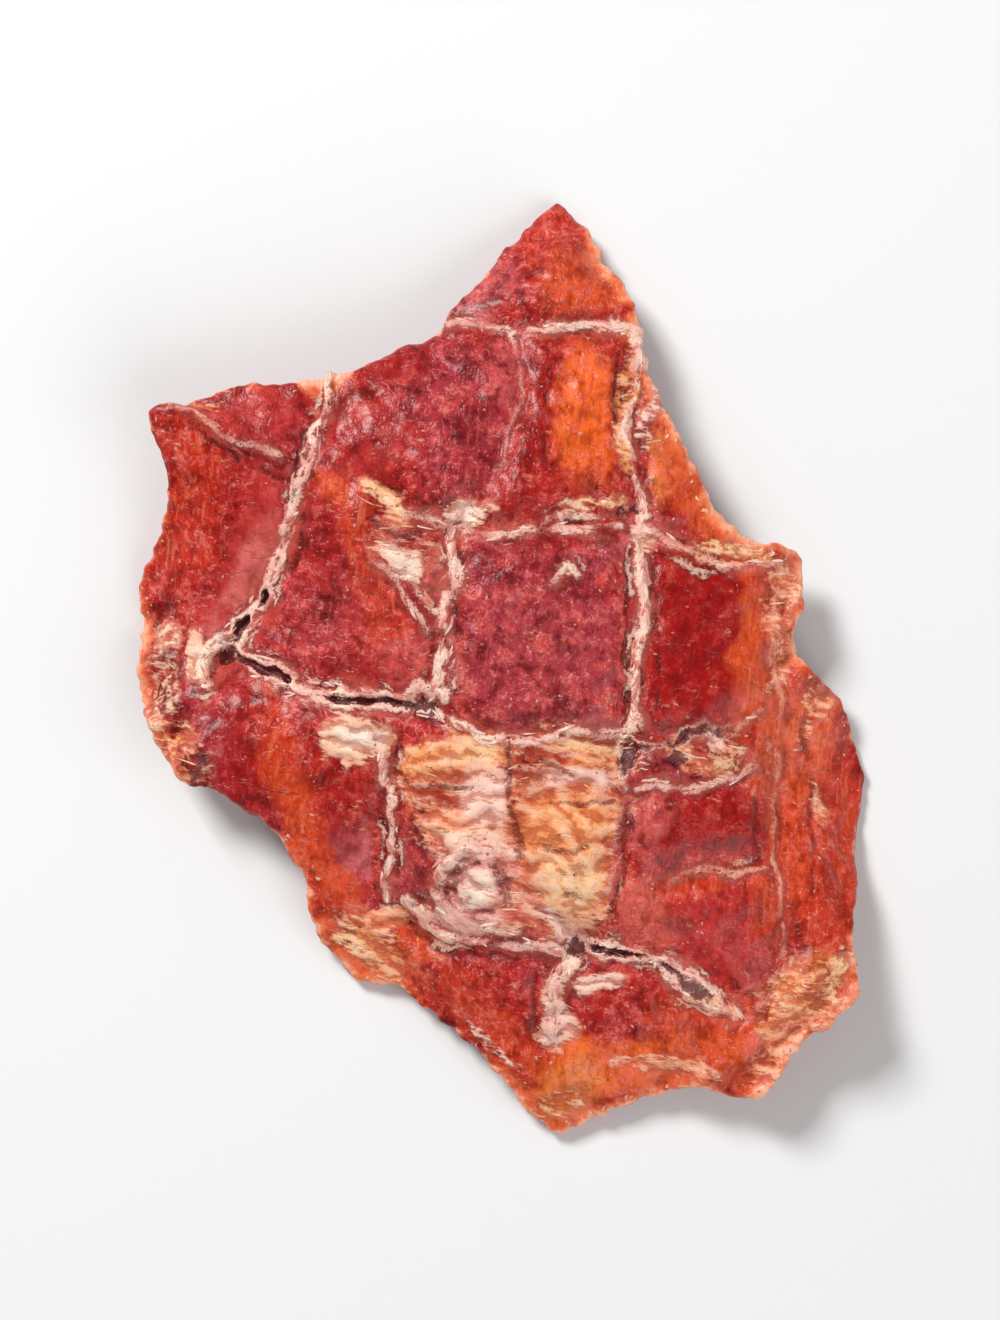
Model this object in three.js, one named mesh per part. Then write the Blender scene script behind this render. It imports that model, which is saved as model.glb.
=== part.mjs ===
import * as THREE from 'three';

// A thin slice of chicken fillet that dried on a wire rack, in millimetres.
// x runs to the slice's right, y to its pointed end and z up. The slice arches
// over the surface it lies on and touches it with five spots of its rim.

// Meat thickness
const middleThickness = 2.7;
const rimThickness = 1.15;
const rimTaper = 7.5; // distance from the rim at which the meat has its full thickness
const leastThickness = 0.8;

// Marks of the drying rack on the upper side
const pillowHeight = 0.85; // how far the meat swelled up between the rack's wires
const seamReach = 1.25; // half width of the sunken seam along a wire
const foldHeight = 0.7;
const foldReach = 0.9;

// Uneven surface and rim
const surfaceRoughness = 0.22;
const surfaceGrain = 4.2; // size of the soft lumps
const smallGrain = 1.9;
const undersideRoughness = 0.16;
const undersideGrain = 6.5;
const rimRaggedness = 0.42;
const rimGrain = 2.6;
const frillHeight = 0.75; // waves along the curled parts of the rim
const frillLength = 5.2;
const frillReach = 4.5;

// Mesh steps from the blunt side to the pointed end, and across. Both are even,
// because the underside has every second step.
const stepsAcross = 54;
const stepsAlong = 68;

// The outline's four sides, each between two of its corners.
const tornLeftSide = [
  [-9.8, -22.1], [-12.1, -19.2], [-13.7, -16.6], [-13.9, -14.4], [-16.3, -11], [-19.9, -8.5],
  [-21.7, -8.7], [-23.8, -5.4], [-25, 0], [-24.9, 6], [-23.4, 10], [-23.4, 14], [-24.3, 17.2],
];
const cutUpperSide = [
  [-24.3, 17.2], [-17.4, 18.9], [-10.6, 20.2], [-5.3, 22.2], [-2.9, 25.3], [1.2, 29.6], [4, 32.8],
];
const raggedRightSide = [
  [24.7, -23], [24.4, -16.5], [25, -10.6], [24.4, -4], [20.6, 1], [20.8, 4.4], [20, 7.7],
  [17.1, 8.1], [14, 12], [11.7, 16.6], [10.4, 20.2], [9.4, 23.8], [7, 29], [4, 32.8],
];
const curledLowerSide = [
  [-9.8, -22.1], [-7.4, -22.4], [-3.4, -25.2], [-1, -28], [2, -31], [4, -32.8], [6.4, -31.7],
  [11.2, -29.6], [18, -29.4], [20.6, -26.6], [24.7, -23],
];

// Height of the middle of the meat over the surface, at chosen spots: x, y, height.
const heightSpots = [
  [0, 3, 7.6], [-8, 12, 6.9], [6, 15, 6.1], [0, -11, 7], [9, -13, 6.6], [12, -1, 6.1],
  [-12, -6, 5.4], [-17, 3, 3.5], [-16, 14, 5.2], [-25, 18, 6.8],
  [-25, 5, -1], [-22, -9, 4.6], [-14, -16, 1.9], [-10, -23, -0.6], [2, -25, 3.1], [4, -33, -0.9],
  [14, -28, 2.6], [25, -24, 5.2], [18, -18, 4.3], [26, -9, -1.1], [20, 3, 2.7], [21, 9, 4.4],
  [13, 13, 3.9], [10, 21, 3.6], [1, 24, 4], [4, 33, -0.8],
];
const spotReach = 5.4;

// Seams that the rack's wires pressed into the upper side.
const lengthwiseSeams = [
  [[-11.7, 19.5], [-13.7, 12.6], [-15.6, 5.3], [-19.1, -0.5]],
  [[0.8, 23], [1.8, 18.5], [-0.9, 11.9], [-2.8, 8.9], [-4.1, 0], [-4.8, -3.4], [-1.2, -6],
    [-0.2, -11.5], [1, -15.5], [5.4, -19]],
  [[9.4, 22.3], [8.9, 16.5], [9.6, 8.5], [9.4, 0], [8.2, -6], [7.3, -14], [5.4, -19]],
  [[19, 6.2], [19, 0], [19.5, -6.5], [18.8, -13.7], [19.5, -19.9], [17.6, -23.5]],
  [[-6.4, -4], [-8.1, -11.3], [-7.6, -17]],
];
const crosswiseSeams = [
  [[-3.4, 23.2], [4.1, 22.9], [9.4, 23.2]],
  [[-9.5, 12.5], [-6.5, 9.8], [-2.8, 8.9], [2.5, 8.5], [6.4, 9.6], [9.6, 8.5], [16, 7.1], [19.5, 7.3]],
  [[-19.1, -0.5], [-10.2, -2.7], [-4.8, -3.4], [-1, -5.8], [8.2, -6], [14.7, -5.6], [17.8, -3]],
  [[2.7, -8.9], [8, -9.6], [13.3, -8.7], [16.9, -8]],
  [[11.4, -15.4], [17.6, -14.2]],
  [[-7.6, -17], [-4.5, -19], [3.5, -20.4], [8, -19.7], [13.7, -21.6], [16.4, -24]],
];
const seams = [...lengthwiseSeams, ...crosswiseSeams];
const foldLine = [[-21.8, 17.4], [-17.4, 14.5], [-14, 12.6]];

// Where wires crossed, the meat tore out in small pits.
const tornSpots = [[-19.1, -0.5], [-2.8, 8.9], [-4.8, -3.4], [9.6, 8.5], [8.2, -6], [5.4, -19]];
const pitDepth = 0.7;
const pitReach = 1.1;

// Cells that dried thinner than the rest: centre x and y, half sizes, share of thickness lost.
const thinCells = [
  [5.6, 17.6, 2.8, 5, 0.55],
  [14.5, 2, 3.6, 6, 0.3],
];

// Stretches of the rim that curled into small waves: centre x and y, half length.
const frilledRims = [
  [18, -27, 12],
  [22, 3, 9],
  [-23, -3, 8],
];

function clamp(value, low, high) {
  return Math.min(high, Math.max(low, value));
}

function smoothStep(low, high, value) {
  const t = clamp((value - low) / (high - low), 0, 1);
  return t * t * (3 - 2 * t);
}

// Repeatable random number from 0 to 1 for a pair of whole numbers.
function scatter(i, j) {
  const spread = Math.sin(i * 127.1 + j * 311.7) * 43758.5453;
  return spread - Math.floor(spread);
}

// Soft noise from -1 to 1, with one lump for each unit of x and y.
function softNoise(x, y) {
  const i = Math.floor(x);
  const j = Math.floor(y);
  const u = smoothStep(0, 1, x - i);
  const v = smoothStep(0, 1, y - j);
  const near = scatter(i, j) * (1 - u) + scatter(i + 1, j) * u;
  const far = scatter(i, j + 1) * (1 - u) + scatter(i + 1, j + 1) * u;
  return 2 * (near * (1 - v) + far * v) - 1;
}

function distanceToSegment(x, y, [ax, ay], [bx, by]) {
  const dx = bx - ax;
  const dy = by - ay;
  const share = clamp(((x - ax) * dx + (y - ay) * dy) / (dx * dx + dy * dy), 0, 1);
  return Math.hypot(x - ax - share * dx, y - ay - share * dy);
}

function distanceToLine(x, y, line) {
  let least = Infinity;
  for (let i = 1; i < line.length; i += 1) {
    least = Math.min(least, distanceToSegment(x, y, line[i - 1], line[i]));
  }
  return least;
}

// One side of the outline, evenly stepped, with a ragged edge that fades out at its two corners.
function raggedSide(points, steps, phase) {
  const curve = new THREE.CatmullRomCurve3(
    points.map(([x, y]) => new THREE.Vector3(x, y, 0)), false, 'centripetal');
  const sideLength = curve.getLength();
  return curve.getSpacedPoints(steps).map((point, i) => {
    const share = i / steps;
    const tangent = curve.getTangentAt(share);
    const fade = smoothStep(0, 0.06, share) * smoothStep(0, 0.06, 1 - share);
    const bite = rimRaggedness * fade * softNoise((share * sideLength) / rimGrain, phase);
    return [point.x + tangent.y * bite, point.y - tangent.x * bite];
  });
}

function middleOf(values) {
  return (Math.min(...values) + Math.max(...values)) / 2;
}

const lower = raggedSide(curledLowerSide, stepsAcross, 3);
const upper = raggedSide(cutUpperSide, stepsAcross, 7);
const left = raggedSide(tornLeftSide, stepsAlong, 11);
const right = raggedSide(raggedRightSide, stepsAlong, 19);
const sides = [lower, right, upper, left];

// The outline's box is centred on the origin.
const middleX = middleOf(sides.flat().map(([x]) => x));
const middleY = middleOf(sides.flat().map(([, y]) => y));
sides.flat().forEach((point) => {
  point[0] -= middleX;
  point[1] -= middleY;
});

// Place inside the outline, blended from its four sides: u across and v along, from 0 to 1.
function placeInside(i, j) {
  const u = i / stepsAcross;
  const v = j / stepsAlong;
  return [0, 1].map((axis) => {
    const along = (1 - v) * lower[i][axis] + v * upper[i][axis];
    const across = (1 - u) * left[j][axis] + u * right[j][axis];
    const corners = (1 - u) * (1 - v) * lower[0][axis] + u * (1 - v) * lower[stepsAcross][axis]
      + (1 - u) * v * upper[0][axis] + u * v * upper[stepsAcross][axis];
    return along + across - corners;
  });
}

// Height of the arched middle surface, as a smooth blend of the nearby spots.
function archHeight(x, y) {
  let total = 0;
  let weights = 0;
  for (const [sx, sy, height] of heightSpots) {
    const weight = Math.exp(-((x - sx) ** 2 + (y - sy) ** 2) / (2 * spotReach ** 2));
    total += weight * height;
    weights += weight;
  }
  return total / weights;
}

function thicknessAt(x, y, fromRim) {
  const full = rimThickness + (middleThickness - rimThickness) * smoothStep(0, rimTaper, fromRim);
  return thinCells.reduce((thickness, [cx, cy, halfX, halfY, loss]) => {
    const reach = Math.hypot((x - cx) / halfX, (y - cy) / halfY);
    return thickness * (1 - loss * (1 - smoothStep(0.5, 1.2, reach)));
  }, full);
}

// Waves of a curled rim, which fade towards the middle of the slice.
function frillAt(x, y, fromRim) {
  const fade = 1 - smoothStep(0, frillReach, fromRim);
  return frilledRims.reduce((height, [cx, cy, reach]) => {
    const far = Math.hypot(x - cx, y - cy);
    const wave = Math.sin((2 * Math.PI * (x - y)) / frillLength);
    return height + frillHeight * fade * wave * (1 - smoothStep(0.5 * reach, reach, far));
  }, 0);
}

// A smooth bump that is 1 in its middle and fades over its reach.
function bump(distance, reach) {
  return Math.exp(-((distance / reach) ** 2));
}

// Relief of the upper side: pillows between sunken seams, torn pits, one fold and soft lumps.
function reliefAt(x, y) {
  const toSeam = Math.min(...seams.map((seam) => distanceToLine(x, y, seam)));
  const toPit = Math.min(...tornSpots.map(([px, py]) => Math.hypot(x - px, y - py)));
  const toFold = distanceToLine(x, y, foldLine);
  const large = softNoise(x / surfaceGrain, y / surfaceGrain);
  const small = softNoise(x / smallGrain, y / smallGrain + 40);
  return pillowHeight * (1 - bump(toSeam, seamReach)) - pitDepth * bump(toPit, pitReach)
    + foldHeight * bump(toFold, foldReach) + surfaceRoughness * (large + small / 2);
}

// Heights of the lower and the upper surface at one place.
function surfacesAt(x, y) {
  const fromRim = Math.min(...sides.map((side) => distanceToLine(x, y, side)));
  const middle = archHeight(x, y) + frillAt(x, y, fromRim);
  const thickness = thicknessAt(x, y, fromRim);
  const grain = undersideRoughness * softNoise(x / undersideGrain + 60, y / undersideGrain);
  const bottom = Math.max(0, middle - thickness / 2 + grain);
  const relief = reliefAt(x, y) * smoothStep(-0.5, 3, fromRim);
  const top = Math.max(bottom + leastThickness, middle + thickness / 2 + relief);
  return { bottom, top };
}

// The slice as one closed shell: a fine upper side, a coarser underside and the rim between them.
function sliceGeometry() {
  const positions = [];
  const faces = [];
  const topIndex = (i, j) => j * (stepsAcross + 1) + i;
  const columns = stepsAcross / 2 + 1;
  const firstBottom = (stepsAcross + 1) * (stepsAlong + 1);
  const bottomIndex = (i, j) => firstBottom + (j / 2) * columns + i / 2;

  for (let j = 0; j <= stepsAlong; j += 1) {
    for (let i = 0; i <= stepsAcross; i += 1) {
      const [x, y] = placeInside(i, j);
      positions.push(x, y, surfacesAt(x, y).top);
    }
  }
  for (let j = 0; j <= stepsAlong; j += 2) {
    for (let i = 0; i <= stepsAcross; i += 2) {
      const [x, y] = placeInside(i, j);
      positions.push(x, y, surfacesAt(x, y).bottom);
    }
  }
  const heightOf = (index) => positions[3 * index + 2];
  for (let j = 0; j < stepsAlong; j += 1) {
    for (let i = 0; i < stepsAcross; i += 1) {
      const [a, b] = [topIndex(i, j), topIndex(i + 1, j)];
      const [c, d] = [topIndex(i + 1, j + 1), topIndex(i, j + 1)];
      // The diagonal with less rise follows a seam better.
      if (Math.abs(heightOf(a) - heightOf(c)) < Math.abs(heightOf(b) - heightOf(d))) {
        faces.push(a, b, c, a, c, d);
      } else {
        faces.push(a, b, d, b, c, d);
      }
    }
  }
  for (let j = 0; j < stepsAlong; j += 2) {
    for (let i = 0; i < stepsAcross; i += 2) {
      const [a, b] = [bottomIndex(i, j), bottomIndex(i + 2, j)];
      const [c, d] = [bottomIndex(i + 2, j + 2), bottomIndex(i, j + 2)];
      faces.push(a, c, b, a, d, c);
    }
  }

  // Two steps of the rim at a time, walking round the slice with the meat on the left.
  const rimStep = (from, middle, to) => {
    faces.push(bottomIndex(...from), topIndex(...middle), topIndex(...from));
    faces.push(bottomIndex(...from), bottomIndex(...to), topIndex(...middle));
    faces.push(bottomIndex(...to), topIndex(...to), topIndex(...middle));
  };
  for (let i = 0; i < stepsAcross; i += 2) {
    rimStep([i, 0], [i + 1, 0], [i + 2, 0]);
    rimStep([i + 2, stepsAlong], [i + 1, stepsAlong], [i, stepsAlong]);
  }
  for (let j = 0; j < stepsAlong; j += 2) {
    rimStep([stepsAcross, j], [stepsAcross, j + 1], [stepsAcross, j + 2]);
    rimStep([0, j + 2], [0, j + 1], [0, j]);
  }

  const geometry = new THREE.BufferGeometry();
  geometry.setAttribute('position', new THREE.Float32BufferAttribute(positions, 3));
  geometry.setIndex(faces);
  geometry.computeVertexNormals();
  return geometry;
}

const driedMeat = new THREE.MeshStandardMaterial({ color: 0xb02c26, roughness: 0.45, metalness: 0 });
const slice = new THREE.Mesh(sliceGeometry(), driedMeat);
slice.name = 'chicken_fillet_treat';

const treat = new THREE.Group();
treat.add(slice);

export default treat;
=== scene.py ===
import itertools
import math
from types import SimpleNamespace
import bmesh
import bpy
import numpy as np
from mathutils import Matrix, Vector
from mathutils.bvhtree import BVHTree


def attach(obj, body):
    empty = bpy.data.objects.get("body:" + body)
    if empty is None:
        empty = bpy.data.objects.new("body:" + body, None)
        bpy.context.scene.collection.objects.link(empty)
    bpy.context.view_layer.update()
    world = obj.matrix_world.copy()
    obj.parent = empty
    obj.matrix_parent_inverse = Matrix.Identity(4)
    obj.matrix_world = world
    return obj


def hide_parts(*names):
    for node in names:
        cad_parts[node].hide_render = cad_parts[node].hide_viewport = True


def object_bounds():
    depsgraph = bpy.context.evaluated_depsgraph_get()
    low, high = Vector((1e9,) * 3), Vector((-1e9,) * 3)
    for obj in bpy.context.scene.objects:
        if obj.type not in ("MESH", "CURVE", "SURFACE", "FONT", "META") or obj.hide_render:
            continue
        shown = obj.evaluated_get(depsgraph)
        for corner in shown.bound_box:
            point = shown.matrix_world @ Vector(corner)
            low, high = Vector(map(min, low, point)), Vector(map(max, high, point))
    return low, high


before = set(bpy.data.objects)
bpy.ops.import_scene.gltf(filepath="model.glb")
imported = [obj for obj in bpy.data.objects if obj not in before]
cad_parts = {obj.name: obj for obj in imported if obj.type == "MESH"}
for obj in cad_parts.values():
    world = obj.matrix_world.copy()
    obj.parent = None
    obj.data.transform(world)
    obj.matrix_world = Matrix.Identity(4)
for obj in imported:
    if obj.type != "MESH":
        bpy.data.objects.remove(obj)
cadLow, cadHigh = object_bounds()
treatNode = "chicken_fillet_treat"
mm = 0.001
print("frame loaded, box in mm:", [round(side / mm, 1) for side in cadHigh - cadLow])


# Small helpers

def paint(red, green, blue):
    # a colour given from 0 to 255 as seen on a screen, as the linear values of a shader
    parts = [part / 255 for part in (red, green, blue)]
    return tuple(part / 12.92 if part < 0.04045 else ((part + 0.055) / 1.055) ** 2.4 for part in parts)


def palette(**tones):
    return {name: paint(*tone) for name, tone in tones.items()}


def selectOnly(piece):
    bpy.ops.object.select_all(action="DESELECT")
    piece.select_set(True)
    bpy.context.view_layer.objects.active = piece


def inEditMode(piece, *steps):
    # runs edit operators on all of a piece's mesh
    selectOnly(piece)
    bpy.ops.object.mode_set(mode="EDIT")
    bpy.ops.mesh.select_all(action="SELECT")
    for step, options in steps:
        step(**options)
    bpy.ops.object.mode_set(mode="OBJECT")


def applyModifier(piece, kind, **settings):
    selectOnly(piece)
    made = piece.modifiers.new(kind.lower(), kind)
    for name, value in settings.items():
        setattr(made, name, value)
    bpy.ops.object.modifier_apply(modifier=made.name)


def readVertices(mesh, what):
    values = np.zeros(len(mesh.vertices) * 3)
    mesh.vertices.foreach_get(what, values)
    return values.reshape(-1, 3)


def keepValues(mesh, **fields):
    # values of the mesh's points that its material reads
    for name, values in fields.items():
        if values.ndim == 2:
            colours = np.column_stack([values, np.ones(len(values))])
            mesh.attributes.new(name, "FLOAT_COLOR", "POINT").data.foreach_set("color", colours.ravel())
        else:
            mesh.attributes.new(name, "FLOAT", "POINT").data.foreach_set("value", values)


def rise(value, low, high):
    # smooth step from 0 at low to 1 at high
    share = np.clip((value - low) / (high - low), 0, 1)
    return share * share * (3 - 2 * share)


def bump(gap, reach):
    return np.exp(-((gap / reach) ** 2))


cornerPrimes = np.array([374761393, 668265263, 1440662683])  # one for each axis
mixingPrime = 1274126177
wordMask, halfMask = 0xFFFFFFFF, 0xFFFF


def latticeValue(corner, seed):
    # repeatable random number from 0 to 1 for each whole-numbered corner
    mixed = corner @ cornerPrimes + seed * mixingPrime
    mixed = mixed & wordMask
    mixed = ((mixed ^ (mixed >> 13)) * mixingPrime) & wordMask
    return ((mixed ^ (mixed >> 16)) & halfMask) / halfMask


def lumps(spots, size, seed):
    # soft noise from -1 to 1 whose lumps have the given size, one number or one for each axis
    cell = spots / np.array(size)
    low = np.floor(cell).astype(np.int64)
    part = cell - low
    part = part * part * (3 - 2 * part)
    total = 0
    for corner in itertools.product((0, 1), repeat=3):
        weight = np.prod(np.where(corner, part, 1 - part), axis=1)
        total = total + weight * latticeValue(low + np.array(corner), seed)
    return 2 * total - 1


def flattened(spots):
    return spots * np.array([1, 1, 0])


def turned(spots, degrees):
    # spots turned about the vertical
    turn = math.radians(degrees)
    x = math.cos(turn) * spots[:, 0] + math.sin(turn) * spots[:, 1]
    y = math.cos(turn) * spots[:, 1] - math.sin(turn) * spots[:, 0]
    return np.column_stack([x, y, spots[:, 2]])


def wandered(spots, seed, wide=0.5, fine=0.2):
    # spots moved sideways a little, so that what is drawn on them gets an uneven course
    wideSize, fineSize = 2.6, 0.7
    moved = flattened(spots)
    shifts = [wide * lumps(moved, wideSize, seed + axis) + fine * lumps(moved, fineSize, seed + 2 + axis)
              for axis in (0, 1)]
    moved[:, :2] += np.column_stack(shifts)
    return moved


def seamCourse(spots):
    return wandered(spots, 20)


def creaseCourse(spots):
    return wandered(spots, 40, 0.35, 0.18)


def patchCourse(spots):
    return wandered(spots, 50, 0.9, 0.3)


def gapTo(spots, start, end):
    # distance from each spot to a straight stretch, seen from above
    start, run = np.array(start), np.array(end) - np.array(start)
    share = np.clip(((spots[:, :2] - start) @ run) / (run @ run), 0, 1)
    return np.hypot(*(spots[:, :2] - start - share[:, None] * run).T)


def gapToLine(spots, line):
    return np.min([gapTo(spots, start, end) for start, end in zip(line, line[1:])], axis=0)


# Stage: the camera looks down on the slice, with its pointed end at the top of the picture

stageSettings = {
    "floorHalf": 1.5,
    "floorColour": paint(232, 232, 232),
    "floorRoughness": 0.9,
    "elevation": 87,
    "lens": 100,
    "sensor": 36,
    "nearest": 0.01,
    "farthest": 10,
    "sliceShare": 0.72,  # of the picture's height
}


def makeStage(settings):
    bpy.ops.mesh.primitive_plane_add(size=2 * settings["floorHalf"], location=(0, 0, 0))
    floor = bpy.context.object
    floor.name = "floor"
    material, wire = startMaterial("paleFloor")
    roughness = settings["floorRoughness"]
    finishMaterial(wire, {"Base Color": (*settings["floorColour"], 1), "Roughness": roughness})
    floor.data.materials.append(material)

    middle = (cadLow + cadHigh) / 2
    half = (cadHigh.y - cadLow.y) / 2 / settings["sliceShare"]
    distance = half * settings["lens"] / (settings["sensor"] / 2)
    up = math.radians(settings["elevation"])
    camera = bpy.data.objects.new("camera", bpy.data.cameras.new("camera"))
    bpy.context.collection.objects.link(camera)
    camera.data.lens = settings["lens"]
    camera.data.sensor_width = settings["sensor"]
    camera.data.clip_start = settings["nearest"]
    camera.data.clip_end = settings["farthest"]
    lookBack(camera, Vector((0, -math.cos(up), math.sin(up))), distance, middle)
    bpy.context.scene.camera = camera


def lookBack(holder, away, distance, target=Vector()):
    # places a camera or lamp away from a target and turns it to look back at it
    holder.location = target + away * distance
    holder.rotation_mode = "QUATERNION"
    holder.rotation_quaternion = (-away).to_track_quat("-Z", "Y")


lampSettings = {
    "skyStrength": 0.22,
    "key": {"size": 0.16, "watts": 3.0, "azimuth": -40, "elevation": 43, "distance": 0.55},
    "fill": {"size": 0.70, "watts": 3.2, "azimuth": 132, "elevation": 30, "distance": 0.65},
}


def makeLamps(settings):
    for name in ("key", "fill"):
        lamp = settings[name]
        light = bpy.data.lights.new(name, "AREA")
        light.size = lamp["size"]
        light.energy = lamp["watts"]
        holder = bpy.data.objects.new(name, light)
        bpy.context.collection.objects.link(holder)
        around, up = math.radians(lamp["azimuth"]), math.radians(lamp["elevation"])
        away = Vector((math.sin(around) * math.cos(up), math.cos(around) * math.cos(up), math.sin(up)))
        lookBack(holder, away, lamp["distance"])
    world = bpy.data.worlds.new("studio")
    bpy.context.scene.world = world
    world.use_nodes = True
    sky = world.node_tree.nodes["Background"]
    sky.inputs["Color"].default_value = (1, 1, 1, 1)
    sky.inputs["Strength"].default_value = settings["skyStrength"]
    bpy.context.scene.view_settings.view_transform = "Standard"


# Shader maths: sums of wires add the nodes

class Wire:
    def __init__(self, tree, socket=None):
        self.tree = tree
        self.socket = socket

    def add(self, kind, settings=None, inputs=None, output=0):
        made = self.tree.nodes.new(kind)
        for name, value in (settings or {}).items():
            setattr(made, name, value)
        for name, value in (inputs or {}).items():
            if isinstance(value, Wire):
                self.tree.links.new(value.socket, made.inputs[name])
            else:
                made.inputs[name].default_value = value
        return Wire(self.tree, made.outputs[output] if len(made.outputs) else None)

    def maths(self, operation, first, second=0.0):
        return self.add("ShaderNodeMath", {"operation": operation}, {0: first, 1: second})

    def __add__(self, other):
        return self.maths("ADD", self, other)

    def __radd__(self, other):
        return self.maths("ADD", other, self)

    def __sub__(self, other):
        return self.maths("SUBTRACT", self, other)

    def __rsub__(self, other):
        return self.maths("SUBTRACT", other, self)

    def __mul__(self, other):
        return self.maths("MULTIPLY", self, other)

    def __rmul__(self, other):
        return self.maths("MULTIPLY", other, self)

    def __abs__(self):
        return self.maths("ABSOLUTE", self)

    def rise(self, low, high):
        ends = {"Value": self, "From Min": low, "From Max": high}
        return self.add("ShaderNodeMapRange", {"interpolation_type": "SMOOTHSTEP"}, ends)

    def attribute(self, name, output="Fac"):
        return self.add("ShaderNodeAttribute", {"attribute_name": name}, output=output)

    def place(self):
        return self.add("ShaderNodeTexCoord", output="Object")

    def grain(self, size, detail=2, roughness=0.5, turn=0, stretch=None):
        # noise whose lumps have the given size in millimetres, drawn out along turned axes
        where = self.place()
        if stretch:
            steps = {"Vector": where, "Rotation": (0, 0, math.radians(turn)), "Scale": stretch}
            where = self.add("ShaderNodeMapping", {"vector_type": "TEXTURE"}, steps)
        inputs = {"Vector": where, "Scale": 1 / (size * mm), "Detail": detail, "Roughness": roughness}
        return self.add("ShaderNodeTexNoise", inputs=inputs)

    def thread(self, size, width):
        # thin wandering lines, where noise crosses its middle value
        return (width - abs(self.grain(size, 2, 0.6) - 0.5)).rise(0, width)

    def blend(self, share, other):
        # this colour with a share of the other one
        other = other if isinstance(other, Wire) else (*other, 1)
        return self.add("ShaderNodeMix", {"data_type": "RGBA"}, {0: share, 6: self, 7: other}, 2)

    def times(self, share, colour):
        # this colour, darkened by a share of the other one
        settings = {"data_type": "RGBA", "blend_type": "MULTIPLY"}
        return self.add("ShaderNodeMix", settings, {0: share, 6: self, 7: (*colour, 1)}, 2)


def startMaterial(name):
    material = bpy.data.materials.new(name)
    material.use_nodes = True
    material.node_tree.nodes.clear()
    return material, Wire(material.node_tree)


def finishMaterial(wire, inputs):
    shader = wire.add("ShaderNodeBsdfPrincipled", inputs=inputs)
    wire.add("ShaderNodeOutputMaterial", inputs={"Surface": shader})


# Marks on the upper side, in millimetres

def arcLine(x, y, radius, start, end, pieces=12):
    # an arc round a place, from one angle to another in degrees
    turns = [math.radians(start + (end - start) * i / pieces) for i in range(pieces + 1)]
    return [(x + radius * math.cos(turn), y + radius * math.sin(turn)) for turn in turns]


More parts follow.
